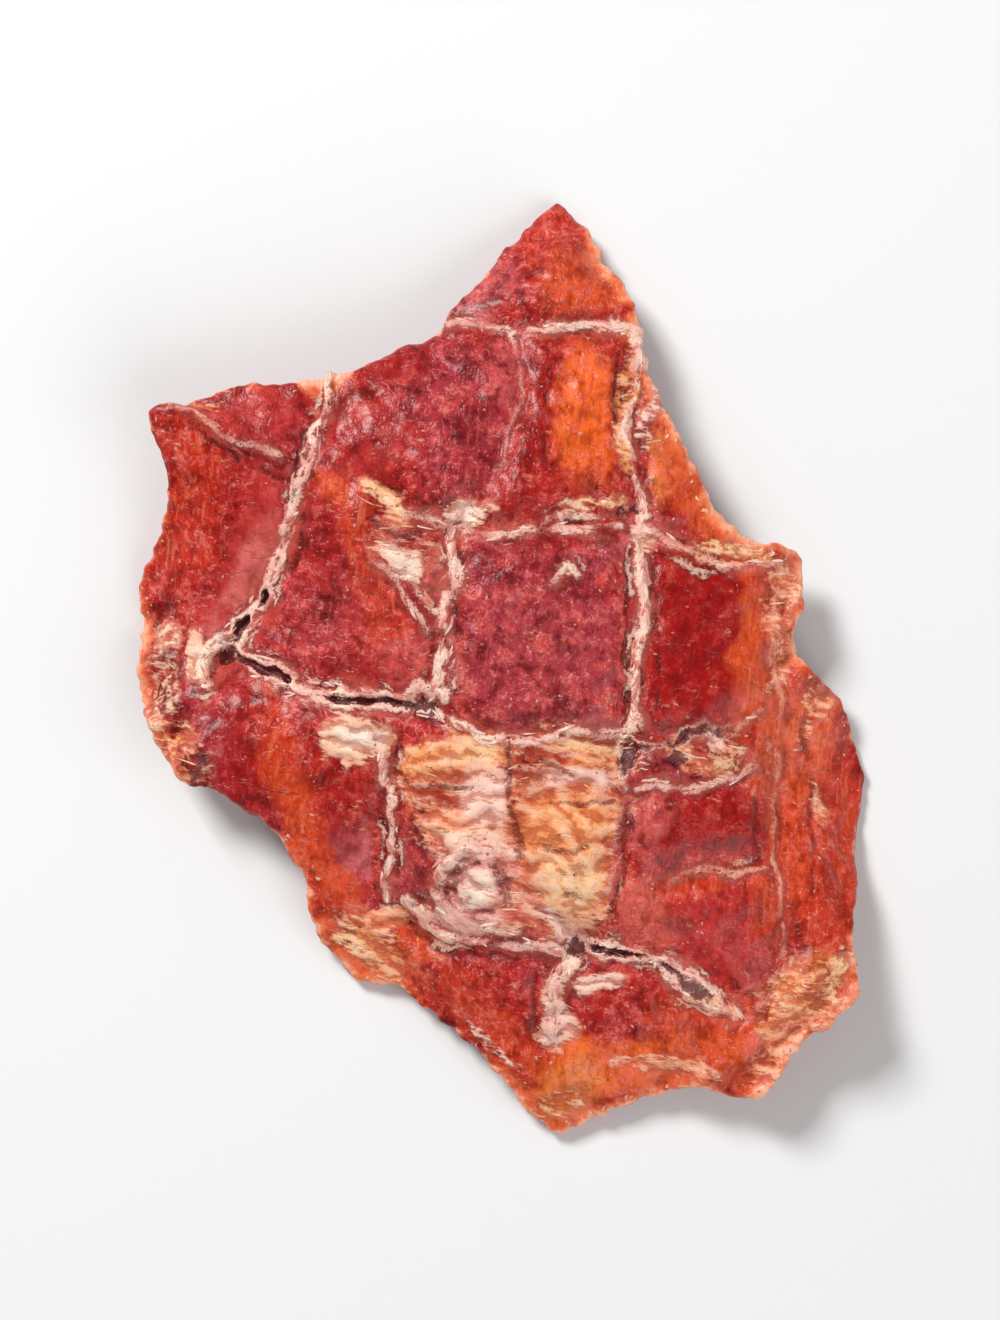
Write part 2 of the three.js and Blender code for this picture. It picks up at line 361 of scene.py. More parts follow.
# Stretches of the seams that the rack's wires left, and along the fold's crest pale lips that are a painted
# highlight: depth of the open crack, strength of the pale torn lips and the points. The last ones are arcs
# round torn places.
seamStretches = [
    (0.1, 1.2, [(-11.4, 19.6), (-11.9, 17.2)]),
    (0.4, 0.6, [(-11.9, 17.2), (-12.9, 14.6), (-13.8, 11.8)]),
    (0.3, 1.0, [(-13.8, 11.8), (-14.8, 8.8)]),
    (0.4, 1.3, [(-14.8, 8.8), (-15.6, 5.3)]),
    (1.0, 0.9, [(-15.6, 5.3), (-18.9, 0.4)]),
    # pale lips along the fold's crest, a painted highlight
    (0.0, 0.4, [(-23.4, 17.4), (-21.1, 16.7), (-17.8, 14.8), (-15, 13.5)]),
    (0.0, 0.3, [(0.8, 23), (1.8, 18.5), (-0.9, 11.9), (-2.8, 8.9)]),
    (0.1, 0.9, [(-2.8, 8.9), (-3.4, 4)]),
    (0.1, 0.8, [(-3.4, 4), (-3.7, 0), (-4.8, -3.4)]),
    (0.0, 1.0, [(-4.8, -3.4), (-1.2, -5.6)]),
    (0.0, 0.3, [(1, -15.5), (5.4, -19)]),
    (0.0, 0.7, [(9.4, 22.3), (8.9, 16.5), (9.6, 8.5)]),
    (0.0, 1.1, [(9.8, 7.6), (9.7, 2), (9.2, -4)]),
    (0.5, 0.6, [(9.2, -4), (8.2, -6), (8.1, -8.6)]),
    (0.0, 0.3, [(7.8, -9.6), (7.6, -14), (6.4, -18)]),
    (0.0, 0.45, [(19, 6.2), (19, 0), (19.3, -2.5)]),
    (0.0, 0.35, [(19.3, -2.5), (18.8, -13.7), (19.5, -19.9), (17.6, -23.5)]),
    (0.0, 0.8, [(-7.4, -6.9), (-7.6, -10)]),
    (0.0, 0.65, [(-7.6, -10), (-7.7, -11.3), (-7.8, -16.4)]),
    (0.2, 0.6, [(-3.6, 23.3), (1.7, 22.8)]),
    (0.0, 0.8, [(1.7, 22.8), (4.1, 23), (9.2, 23)]),
    (0.1, 0.5, [(-6.5, 9.8), (-2.8, 8.9)]),
    (0.0, 0.7, [(-2.8, 8.9), (-0.5, 8.3), (2.5, 8.6)]),
    (0.1, 0.7, [(2.5, 8.6), (4.6, 9.9), (7, 9.5)]),
    (0.1, 0.8, [(2.5, 8.5), (5, 8.6), (8.4, 8.8)]),
    (0.0, 0.6, [(9.9, 8.8), (12.2, 7.6), (15.8, 6.3), (19.5, 6.6)]),
    (0.9, 0.7, [(-18.6, -0.2), (-14.5, -1.6)]),
    (1.0, 1.1, [(-14.5, -1.6), (-10.2, -2.5), (-4.8, -3.4)]),
    (0.1, 0.75, [(-1.2, -5.6), (2.6, -5.2), (8.2, -5.4)]),
    (0.5, 0.5, [(8.2, -6), (12, -6), (14.2, -4.9), (17.8, -3.4)]),
    (0.1, 0.6, [(9.2, -9), (13.3, -8.7), (17.6, -7.4)]),
    (0.0, 0.5, [(11.4, -15.4), (14, -14.4), (18.2, -14.4)]),
    (0.1, 0.9, [(-6.4, -16.6), (-4.2, -18.7), (0.5, -19.5), (4.4, -20)]),
    (0.0, 0.6, [(-4.6, -16), (-2.2, -18.3), (1.2, -18.4)]),
    (0.8, 1.2, [(6, -19.8), (9.6, -20.4), (11.6, -21.4)]),
    (0.5, 1.3, [(11.6, -21.4), (13.6, -22.5), (16.4, -24.3)]),
    (0.3, 0.9, [(5, -20.4), (3.4, -22.6), (3.4, -25.8)]),
    (0.0, 0.5, [(-8.4, 6.2), (-4.3, 1.3)]),
    (0.0, 0.4, [(-5.8, 5), (-3.9, 2.6)]),
    (0.0, 0.5, [(3.2, 4.9), (4.3, 6.2), (5.2, 5.8)]),
    (0.0, 0.9, arcLine(-1.4, -15.8, 2.7, 60, 250)),
    (0.1, 1.0, arcLine(-19.1, -0.3, 1.6, 60, 230)),
    (0.1, 0.7, arcLine(-4.9, -3.0, 1.3, 20, 200)),
]
# Thin dark creases beside the seams, round the ring and in the pale skin, darkened as painted shade in their
# grooves and partly the meat's own dark lines: strength and points.
creases = [
    # the first one is the painted shadow below the fold
    (0.9, [(-21.4, 15.9), (-17.8, 13.8), (-14.9, 12.2)]),
    (0.7, [(-13.1, 15.6), (-14.4, 12.2)]),
    (0.8, [(-13.6, 9.6), (-14.3, 6.2)]),
    (0.9, [(-8.9, 9.4), (-7.2, 8.6), (-5.4, 8)]),
    (0.7, [(-2.6, 7.2), (-2.8, 1)]),
    (0.6, [(3.2, 21.4), (3.1, 13.2)]),
    (0.6, [(7.9, 21), (7.7, 14)]),
    (0.7, [(3.8, 9.3), (6.2, 9.2)]),
    (0.8, [(8.6, 6.4), (8.5, -3.4)]),
    (0.6, [(10.8, 6.2), (10.5, -3.6)]),
    (0.8, [(11.6, 8.4), (15.4, 7)]),
    (0.9, [(9.6, -6.8), (13, -7.3)]),
    (0.6, [(21.2, -4), (21.6, -9), (21.2, -16)]),
    (0.5, [(17.6, -9.4), (17.9, -13.6)]),
    (0.6, [(-6.9, -4.4), (-6.8, -8)]),
    (0.8, [(-6.2, -8.5), (-2.2, -8.8)]),
    (0.9, [(0.5, -5.6), (0.5, -9), (1.2, -13.4)]),
    (0.7, [(2, -6.9), (4.6, -7.6)]),
    (1.0, [(3.4, -10), (7.4, -9.9)]),
    (0.6, [(2.6, -12.8), (5, -13.2), (7, -12.6)]),
    (0.5, [(3.4, -16.2), (5.8, -16.7)]),
    (0.9, [(8.5, -10), (8.3, -14.6), (7.2, -18.2)]),
    (0.8, [(-6.2, -17.8), (-4.4, -19.8), (1, -20.6)]),
    (1.0, arcLine(-1.4, -15.8, 1.8, -60, 290)),
    (0.9, arcLine(-1.4, -15.8, 2.15, -20, 230)),
    (0.6, [(2.3, -21.6), (2.2, -25.4)]),
]
foldLine = [(-21.8, 17.2), (-17.4, 14.5), (-14, 12.6)]
# Places where wires crossed and the meat is torn out: centre x and y, and reach.
tornSpots = [
    (-19.1, 0, 0.8), (-2.5, 8.8, 0.5), (-4.9, -3.5, 1.0), (9, 10.2, 0.6), (8.5, -6.8, 1.0),
    (5.2, -19.6, 0.9), (12, -6.8, 0.7),
]

# Places that dried to another colour, with a few strips of painted shadow and a painted sheen among them:
# name of the colour, centre x and y, half sizes, turn in degrees and strength.
tintPatches = [
    ("mauve", 2.4, 1.2, 6.2, 7.2, 0, 0.9),
    ("petal", 2.6, -0.6, 5.6, 5.4, 0, 0.12),
    ("petal", -9.6, 1.4, 5.4, 5.2, 0, 0.12),
    ("mauve", -3.4, 16.9, 3.6, 6.2, 15, 0.9),
    # this dark red strip at the top left edge is a painted shadow
    ("deepRed", -7.4, 20.4, 3.4, 1.2, 15, 0.7),
    ("deepRed", -10.6, 15.0, 0.9, 5.0, 15, 0.4),
    ("rose", -7.8, 14.6, 1.8, 2.6, 0, 0.7),
    ("mauve", -13.4, 1.5, 2.2, 3.8, 20, 0.5),
    ("mauve", -5.8, -14.0, 1.6, 2.4, 0, 0.7),
    ("rose", 14.5, -18.4, 3.8, 3.4, 0, 0.7),
    ("rose", -10.4, -14.0, 1.9, 2.6, 0, 0.8),
    ("petal", -9.8, -13.0, 1.2, 2.0, 10, 0.8),
    ("lilac", 1.6, -16.6, 1.4, 2.2, 20, 0.7),
    ("deepRed", 12.6, -7.2, 3.6, 1.8, 0, 0.6),
    ("lilac", 11.0, -7.4, 2.2, 0.8, 5, 0.4),
    ("lilac", 6.6, 6.6, 2.4, 1.4, 0, 0.4),
    ("petal", 0.8, 19.6, 1.2, 2.6, 8, 0.4),
    ("deepRed", 2.7, 17.4, 0.8, 4.6, 0, 0.7),
    ("petal", -0.6, 25.4, 2.4, 1.3, 35, 0.45),
    ("petal", 6.9, 27.6, 0.6, 1.8, 20, 0.6),
    ("petal", 9.4, 9.0, 1.4, 2.4, 0, 0.7),
    ("rose", -17.0, 5.6, 2.0, 7.5, -20, 0.9),
    ("rose", -17.5, 16.8, 4.4, 1.9, -12, 0.7),
    ("blush", -17.4, 4.6, 1.2, 4.6, -24, 0.7),
    # this pale pink band is a painted sheen
    ("blush", -3.8, 2.4, 0.8, 5.5, 6, 0.6),
    ("blush", -3.4, 7.2, 1.2, 1.2, 0, 0.6),
    ("ember", -21.3, 11.0, 2.3, 6.0, -5, 0.7),
    ("orange", -9.9, 8.8, 1.5, 4.4, 12, 0.8),
    ("amber", -11.4, 11.3, 1.2, 1.2, 0, 0.8),
    ("orange", -8.2, 3.0, 1.8, 2.2, 30, 0.6),
    ("blush", -7.0, -0.4, 1.8, 1.6, 0, 0.25),
    ("deepRed", -12.4, 7.8, 1.1, 3.6, 5, 0.6),
    ("deepRed", -9.5, -0.6, 3.0, 1.0, 0, 0.4),
    ("deepRed", 14.2, 0.9, 3.7, 6.4, 0, 1.0),
    ("deepRed", 3.0, 11.0, 2.6, 1.4, 0, 0.6),
    ("deepRed", -16.6, -7.6, 3.4, 2.8, 0, 0.7),
    ("deepRed", -10, -9.6, 2, 2.8, 0, 0.7),
    ("deepRed", 14.4, -11.4, 3.8, 1.9, 0, 0.8),
    # this dark red strip at the right rim is a painted shadow
    ("deepRed", 25.0, -12.6, 1.3, 4.6, 0, 0.8),
    ("red", -2.5, -22.2, 4.2, 1.7, 25, 0.8),
    ("orange", 10.2, -17.2, 2.0, 3.2, 0, 0.7),
    ("blush", 9.8, -17.4, 2.0, 3.0, 0, 0.4),
    ("blush", 9.9, -10.8, 1.4, 2.8, 0, 0.3),
    ("flame", 5.7, 17.2, 2.1, 5.0, 0, 1.0),
    ("ember", 3.9, 30.2, 2.6, 2.4, 0, 0.8),
    ("amber", 5.8, 26.4, 2.6, 2.6, 0, 0.8),
    ("honey", 11.1, 13.8, 1.0, 2.8, -15, 0.8),
    ("flame", 7.0, -28.0, 5.4, 2.4, 12, 1.0),
    ("honey", 4.9, -29.4, 2.4, 2.0, 30, 0.9),
    ("amber", 14.8, -27.0, 4.4, 2.4, 10, 0.9),
    ("honey", 20.8, -22.4, 3.4, 2.4, 40, 0.8),
    ("orange", 14.0, -24.4, 4.0, 1.2, 0, 0.7),
    ("orange", -13.9, -9.6, 1.9, 6.2, 18, 0.9),
    ("amber", -13.4, -11.2, 1.2, 3.4, 18, 0.5),
    ("amber", -11.2, -16.2, 1.6, 2.2, 0, 0.6),
    ("orange", -0.4, -24.8, 4.8, 1.6, -40, 0.8),
    ("orange", 22.2, -12.6, 2.8, 7, 0, 0.8),
    ("amber", 18.8, -9.0, 1.5, 9.6, 0, 0.6),
    ("orange", 14.8, -14.6, 3.8, 0.9, 5, 0.8),
    ("orange", 17.4, -3.6, 1.6, 1.8, 0, 0.6),
    ("amber", 20.6, -5.0, 2.6, 4.2, 0, 0.9),
    ("amber", 14.2, 10.4, 1.6, 5.0, 42, 0.9),
    ("amber", 14.6, 7.4, 3.8, 1.0, -16, 0.7),
    ("amber", 18.0, 1.5, 1.6, 5.4, 0, 0.8),
    ("amber", -7.8, -20.4, 4.6, 2.4, 24, 0.8),
]
# The same for pale skin that the meat kept, where a later place lies over an earlier one.
palePatches = [
    ("ochre", -2.8, -9.2, 3.7, 4.4, 0, 0.9),
    ("rust", -3.9, -9.2, 2.3, 0.8, 0, 0.8),
    ("apricot", -4.7, -6.8, 1.7, 1.7, 0, 1.0),
    ("butter", -2.0, -6.8, 1.4, 1.2, 0, 0.7),
    ("shell", -0.8, -10.0, 1.1, 2.2, 0, 0.9),
    ("peach", -3.6, -10.9, 2.0, 0.8, 0, 0.7),
    ("cream", -2.5, -12.0, 2.4, 0.6, 8, 0.9),
    ("pearl", -1.4, -15.8, 3.3, 3.3, 0, 0.8),
    ("shell", -2.4, -13.4, 2.0, 0.6, 30, 1.0),
    ("frost", -1.4, -15.8, 1.3, 1.3, 0, 0.9),
    ("blush", 1.9, -16.8, 1.4, 2.4, 0, 0.8),
    ("ochre", 4.4, -11.9, 3.8, 7.0, 0, 1.0),
    ("rust", 1.6, -7.4, 1.4, 2.0, 0, 0.8),
    ("rust", 4.6, -7.2, 1.8, 0.6, 20, 0.8),
    ("butter", 5.2, -6.1, 2.9, 0.5, -3, 0.9),
    ("apricot", 6.6, -7.5, 1.1, 0.7, 0, 0.5),
    ("shell", 5.4, -8.9, 2.6, 0.6, 0, 1.0),
    ("apricot", 4.4, -12.0, 3.4, 1.9, 0, 0.8),
    ("butter", 5.0, -15.2, 2.3, 2.2, 0, 0.9),
    ("shell", 4.6, -18.2, 2.0, 0.7, -20, 0.8),
    ("cream", -9.6, -5.6, 2.1, 1.7, -25, 0.9),
    ("frost", -9.2, -5.5, 1.0, 0.8, 0, 0.9),
    ("rose", -6.6, 8.4, 2.4, 2.8, 0, 0.45),
    ("cream", -6.2, 6.5, 1.3, 1.2, 0, 0.8),
    ("frost", -6.1, 6.4, 0.9, 0.9, 0, 0.9),
    ("butter", -7.8, 10.7, 2.2, 0.9, -46, 0.75),
    ("frost", -2.3, 9.9, 1.2, 1.2, 0, 0.8),
    ("shell", 9.7, 8.0, 0.9, 1.4, 0, 0.7),
    ("cream", -23.4, -1.2, 1.4, 4.6, 4, 0.5),
    ("cream", -20.6, 0.2, 0.9, 1.4, 0, 0.8),
    ("apricot", -21.8, -6.4, 1.2, 2.4, 25, 0.4),
    ("apricot", -9.2, -19.2, 3.4, 1.8, -35, 0.5),
    ("butter", -10.2, -19.4, 2.2, 0.9, -45, 0.6),
    ("peach", -7.4, -17.8, 2.2, 0.9, 10, 0.8),
    ("peach", -20.4, 17.7, 2.4, 0.5, 12, 0.4),
    ("shell", 10.6, 16.8, 0.7, 3.0, -8, 0.6),
    ("apricot", 8.7, 17.0, 0.7, 4.4, 0, 0.6),
    ("shell", 9.8, 20.8, 0.8, 1.7, 0, 0.6),
    ("butter", 6.4, 10.9, 2.0, 0.5, 0, 0.5),
    ("peach", 19.2, 2.8, 1.1, 4.6, 0, 0.5),
    ("butter", 15.8, 7.7, 3.2, 0.6, -14, 0.6),
    ("peach", 13.4, -6.4, 2.4, 0.8, 0, 0.5),
    ("peach", 15.6, -6.2, 1.4, 1.8, 10, 0.65),
    ("shell", 15.2, -5.2, 1.0, 0.8, 0, 0.9),
    ("butter", 16.0, -6.8, 0.8, 0.8, 0, 0.8),
    ("peach", 22.0, -2.8, 0.7, 1.3, -15, 0.6),
    ("peach", 20.4, -5.2, 0.5, 1.6, -20, 0.5),
    ("peach", 21.9, -9.4, 0.5, 1.6, 8, 0.5),
    ("shell", 10.2, -7.8, 1.4, 0.6, 0, 0.4),
    ("shell", 6.7, -22.0, 1.7, 0.9, -10, 0.8),
    ("shell", 3.7, -24.2, 1.4, 2.4, 10, 0.85),
    ("shell", -0.6, -26.4, 2.6, 0.5, -47, 0.5),
    ("butter", 4.2, -30.4, 2.0, 0.8, 30, 0.4),
    ("peach", 11.4, -27.6, 4.0, 0.7, -10, 0.6),
    ("apricot", 20.4, -22.8, 3.4, 2.6, 40, 0.5),
    ("peach", 20.6, -25.4, 4.6, 1.1, 38, 0.6),
    ("butter", 23.2, -21.6, 0.8, 1.6, 0, 0.6),
]
meatColours = palette(
    red=(178, 33, 27), wine=(176, 24, 32), mauve=(168, 46, 58), lilac=(174, 76, 90),
    petal=(210, 106, 112), rose=(190, 50, 48), blush=(222, 118, 110), deepRed=(160, 8, 7),
    ember=(198, 44, 22), orange=(206, 60, 27), amber=(224, 86, 36), flame=(242, 103, 34),
    honey=(238, 132, 58), rust=(182, 74, 46), ochre=(224, 128, 84), apricot=(248, 162, 102),
    peach=(248, 156, 116), butter=(252, 200, 148), cream=(252, 204, 174), shell=(253, 208, 194),
    pearl=(234, 162, 156), frost=(248, 226, 210),
)
# Rims that dried pale and flaky, and one pale stretch of the left rim that is a painted highlight: centre x
# and y, reach and strength.
paleRims = [
    # the second entry, at -24.6 and 8, is the painted highlight along the left rim
    (-24.8, -1, 7, 0.7), (-24.6, 8, 5, 0.3), (-22.6, -6.5, 3, 0.5), (-13.6, -14.5, 5, 0.4),
    (-10.5, -20.5, 5, 0.7), (-4, -25, 4, 0.3), (1, -28.5, 4, 0.5), (5, -32, 5, 0.6), (12, -29.5, 5, 0.5),
    (21, -26.5, 7, 0.8), (24.5, -21.5, 4, 0.5), (24, -4, 4, 0.2), (20.5, 4, 6, 0.6),
    (15.5, 9.5, 4, 0.8), (12, 15.5, 4.5, 0.6), (10, 21, 4.5, 0.7), (8, 27.5, 4, 0.7),
    (-12.2, 19.6, 2.5, 0.7), (-20, 18.3, 5, 0.3),
]


def reachOf(spots, patch):
    # 0 in the middle of a patch and 1 at its edge, which is an oval with full corners
    x, y, halfX, halfY, turn = patch[1:6]
    local = np.abs(turned(spots - np.array([x, y, 0]), turn))
    return ((local[:, 0] / halfX) ** 3 + (local[:, 1] / halfY) ** 3) ** (1 / 3)


def patchShare(spots, patch):
    return patch[-1] * rise(reachOf(spots, patch), 1.25, 0.7)


def shareOf(spots, patches, *names):
    # 1 where one of the patches of those colours lies, or any patch where no name is given
    shares = [patchShare(spots, patch) for patch in patches if patch[0] in names or not names]
    return np.max(shares, axis=0)


def paleRimShare(spots):
    return np.max([strength * rise(np.hypot(spots[:, 0] - x, spots[:, 1] - y), reach, 0.6 * reach)
                   for x, y, reach, strength in paleRims], axis=0)


def nearLines(course, marks):
    # distance to the nearest line, and the lines' values, each line counting most near itself
    reach, least = 0.8, 1e-9  # the least weight keeps the sum above zero far from every line
    gaps = np.array([gapToLine(course, mark[-1]) for mark in marks])
    weights = bump(gaps, reach) + least
    values = np.array([mark[:-1] for mark in marks]).T
    return gaps.min(axis=0), values @ (weights / weights.sum(axis=0))


def seamField(spots):
    # distance to the nearest seam, and how much its lips and its crack show there
    gap, (depths, strengths) = nearLines(seamCourse(spots), seamStretches)
    level = flattened(spots)
    broken = 0.35 + 0.65 * rise(lumps(level, 1.5, 31) + 0.6 * lumps(level, 0.6, 32), -0.9, -0.1)
    opened = rise(lumps(level, 1.7, 34) + 0.6 * lumps(level, 0.6, 35), -0.5, 0.35)
    return gap, strengths * broken, depths * opened


def creaseField(spots):
    # distance to the nearest dark crease, and how much it shows there
    gap, (strengths,) = nearLines(creaseCourse(spots), creases)
    level = flattened(spots)
    return gap, strengths * rise(lumps(level, 1.3, 45) + 0.5 * lumps(level, 0.5, 46), -0.8, 0)


def pitField(spots):
    # how deep the meat is torn out where wires crossed
    course = seamCourse(spots)
    level = flattened(spots)
    ragged = 0.6 * lumps(level, 1.0, 36) + 0.3 * lumps(level, 0.4, 37)
    gaps = [(np.hypot(course[:, 0] - x, course[:, 1] - y) + ragged) / reach for x, y, reach in tornSpots]
    return bump(np.maximum(np.min(gaps, axis=0), 0), 1)


def lipOffset(crackPower):
    # how far a lip stands from the middle of its seam, for numbers and for wires of a shader
    closed, opened = 0.06, 0.44
    return closed + opened * crackPower


# The slice: the solid's own mesh, made finer, with torn seams, ripples and fibres in its surface

sliceSettings = {
    "mergeDistance": 1e-6,  # in metres
    "joinAngle": 70,  # between triangles that become one quad
    "levels": 2,
    "facing": (0.05, 0.45),  # slope of a face from which it counts as upper or lower side
    "rimReach": 0.5,
    "lipHeight": 0.36,
    "crackDepth": 0.40,
    "crackWidth": 0.26,
    "creaseDepth": 0.22,
    "creaseWidth": 0.3,
    "pitDepth": 0.45,
    "rippleHeight": 0.13,
    "rippleLength": 1.7,
    "skinHeight": 0.03,
    "skinRoughness": 0.10,
    "foldHeight": 0.25,
    "foldWidth": 0.5,
    "wrinkleHeight": 0.12,
    "wrinkleTurn": 25,
    "pebbleHeight": 0.08,
    "fibreHeight": 0.08,
    "fibreTurn": -9,
    "frayReach": 0.22,
    "rimHeight": 0.14,
}


def outlineOf(mesh):
    # the upper edge of the rim in millimetres: start, end and the direction out of the meat
    wallSlope, topSlope = 0.01, 0.05
    form = bmesh.new()
    form.from_mesh(mesh)
    edges = []
    for edge in form.edges:
        walls = [face for face in edge.link_faces if abs(face.normal.z) < wallSlope]
        tops = [face for face in edge.link_faces if face.normal.z > topSlope]
        if walls and tops:
            start, end = [np.array(corner.co.xy) / mm for corner in edge.verts]
            edges.append((start, end, np.array(walls[0].normal)))
    form.free()
    return edges


def openFoldedFaces(piece):
    # a corner with only two edges lies in two faces that fold onto each other, and goes
    inEditMode(piece, (bpy.ops.mesh.select_all, {"action": "DESELECT"}))
    edges = np.zeros(2 * len(piece.data.edges), dtype=np.int32)
    piece.data.edges.foreach_get("vertices", edges)
    for corner in np.flatnonzero(np.bincount(edges) == 2):
        piece.data.vertices[corner].select = True
    bpy.ops.object.mode_set(mode="EDIT")
    bpy.ops.mesh.dissolve_verts()
    bpy.ops.object.mode_set(mode="OBJECT")


def makeSlice(settings):
    piece = bpy.data.objects.new("driedSlice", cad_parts[treatNode].data.copy())
    bpy.context.collection.objects.link(piece)
    piece.data.materials.clear()
    selectOnly(piece)
    bpy.ops.mesh.customdata_custom_splitnormals_clear()
    inEditMode(piece, (bpy.ops.mesh.remove_doubles, {"threshold": settings["mergeDistance"]}))
    outline = outlineOf(piece.data)
    angle = math.radians(settings["joinAngle"])
    angles = {"face_threshold": angle, "shape_threshold": angle}
    inEditMode(piece, (bpy.ops.mesh.tris_convert_to_quads, angles))
    openFoldedFaces(piece)
    applyModifier(piece, "SUBSURF", levels=settings["levels"], render_levels=settings["levels"])
    bpy.ops.object.shade_smooth()

    mesh = piece.data
    spots, normals = readVertices(mesh, "co") / mm, readVertices(mesh, "normal")
    toRim = np.min([gapTo(spots, start, end) for start, end, outwards in outline], axis=0)
    upper, lower = [rise(side * normals[:, 2], *settings["facing"]) for side in (1, -1)]
    rimPale = paleRimShare(spots)
    keepValues(mesh, rimGap=toRim, rimPale=rimPale, upper=upper, lower=lower)
    lift = tearSurface(mesh, spots, upper, lower, settings)
    tintSurface(mesh, spots, upper, lower)

    # The rim is torn into small teeth, and rises a little where it dried pale
    teeth = lumps(spots, (0.9, 0.9, 2.5), 71) + 0.6 * lumps(spots, (0.45, 0.45, 1.2), 72)
    edge = bump(toRim, settings["rimReach"])
    lift += settings["rimHeight"] * upper * edge * (rimPale + 0.6 * lumps(spots, 0.7, 73))
    fray = settings["frayReach"] * edge * teeth * (0.6 + 0.8 * rimPale)
    spots += normals * lift[:, None] + flattened(normals) * fray[:, None]
    spots[:, 2] = np.maximum(spots[:, 2], 0)
    mesh.vertices.foreach_set("co", (spots * mm).ravel())
    mesh.update()
    return piece, outline


def tearSurface(mesh, spots, upper, lower, settings):
    # how far each point moves along its normal
    gap, lipPower, crackPower = seamField(spots)
    creaseGap, creasePower = creaseField(spots)
    pit = pitField(spots)
    uneven = patchCourse(spots)
    level = flattened(spots)
    pale = upper * shareOf(uneven, palePatches)
    calm = shareOf(uneven, tintPatches, "deepRed", "rose")
    lip = lipPower * bump(gap - lipOffset(crackPower), 0.16 + 0.16 * lipPower)
    crack = crackPower * bump(gap, settings["crackWidth"] * (0.6 + 0.7 * crackPower))
    bowed = uneven[:, 1] + 0.25 * uneven[:, 0] + 1.4 * lumps(level, 3.5, 67) + 0.5 * lumps(level, 1.2, 68)
    ripple = np.sin(2 * math.pi * bowed / settings["rippleLength"])
    keepValues(mesh, seamGap=gap, lipPower=lipPower, crackPower=crackPower, creaseGap=creaseGap,
               creasePower=creasePower, pit=pit, pale=pale, calm=calm, ripple=ripple)

    relief = settings["lipHeight"] * lip * (1 - pit) - settings["crackDepth"] * crack
    groove = creasePower * bump(creaseGap, settings["creaseWidth"])
    relief -= settings["pitDepth"] * pit + settings["creaseDepth"] * groove
    relief += pale * (settings["skinHeight"] + settings["rippleHeight"] * ripple)
    relief += pale * settings["skinRoughness"] * lumps(level, (1.4, 0.5, 1), 66)
    wrinkles = 1 - 2 * np.abs(lumps(turned(level, settings["wrinkleTurn"]), (1.5, 2.6, 1), 63))
    relief += settings["wrinkleHeight"] * wrinkles * (1 - 0.7 * calm) * (1 - pale)
    relief += settings["foldHeight"] * bump(gapToLine(uneven, foldLine), settings["foldWidth"])

    fibreSpots = turned(spots, settings["fibreTurn"])
    fibres = lumps(fibreSpots, (0.8, 7, 2), 61) + 0.5 * lumps(fibreSpots, (0.45, 4, 1.2), 62)
    pebbles = lumps(spots, 0.8, 64) + 0.5 * lumps(spots, 0.45, 65)
    smooth = settings["pebbleHeight"] * pebbles + settings["fibreHeight"] * fibres * (0.35 + 0.65 * lower)
    return upper * relief + smooth * (1 - 0.5 * calm)


def tintSurface(mesh, spots, upper, lower):
    # the dried colours show through to the underside, but the pale skin lies on the upper side
    uneven = patchCourse(spots)
    shown = 1 - 0.75 * lower
    tint = np.tile(meatColours["red"], (len(spots), 1))
    layers = [(lower, "wine"), ((0.6 + 0.3 * lower) * rise(lumps(spots, 5, 80), 0, 0.8), "mauve")]
    layers += [(patchShare(uneven, patch) * shown, patch[0]) for patch in tintPatches]
    for share, name in layers:
        tint = tint + share[:, None] * (np.array(meatColours[name]) - tint)
    skinTint = np.tile(meatColours["ochre"], (len(spots), 1))
    for patch in palePatches:
        share = rise(reachOf(uneven, patch), 1.4, 0.5)
        skinTint = skinTint + share[:, None] * (np.array(meatColours[patch[0]]) - skinTint)
    fiery = shareOf(uneven, tintPatches, "amber", "flame", "orange", "ember", "honey") * shown
    keepValues(mesh, tint=tint, skinTint=skinTint, fiery=fiery)


# The meat's material. Tones are blended into the colour, and shades darken it.
# Some tones stand for light: the pale crests of the lips and of the skin's ripples are partly painted
# highlights, the crack tone is painted shade in cracks and pits, and the thin rim's tone underneath is
# painted light shining through it
meatTones = palette(
    mottle=(222, 80, 72), patch=(234, 88, 70), fibre=(220, 104, 84), fieryFibre=(240, 126, 66),
    thread=(226, 132, 126), dot=(238, 126, 118), speck=(232, 140, 132), glow=(220, 110, 92),
    rimEdge=(240, 176, 144), thinRim=(216, 74, 40), layer=(212, 108, 84), scab=(234, 172, 134),
    skinCrest=(250, 218, 190), fringe=(208, 104, 84), lip=(250, 200, 184), lipCrust=(254, 230, 204),
    fieryLip=(240, 140, 84), crack=(86, 20, 30),
)
# Some shades are painted shade: beside the lips of the seams, in the creases, in the troughs of the skin's
# ripples and round the skin's torn edge
meatShades = {
    "mottle": (0.5, 0.28, 0.28), "fine": (0.66, 0.44, 0.44), "fibre": (0.68, 0.46, 0.42),
    "wrinkle": (0.58, 0.34, 0.36), "stain": (0.44, 0.24, 0.28), "layer": (0.62, 0.44, 0.44),
    "skinTrough": (0.64, 0.43, 0.37), "skinMottle": (0.76, 0.56, 0.5), "fringe": (0.6, 0.38, 0.36),
    "crease": (0.38, 0.21, 0.21), "lipDust": (0.78, 0.56, 0.52),
}
# Bands on the upper side of the rim: reach where it is palest, what is added to it, how softly the
# band ends, all in millimetres, and tone.
rimBands = [
    (2.5, 0, 1.2, paint(214, 84, 42)),
    (1.8, -0.2, 1, paint(246, 138, 94)),
    (1.2, -0.3, 0.9, paint(254, 190, 156)),
]
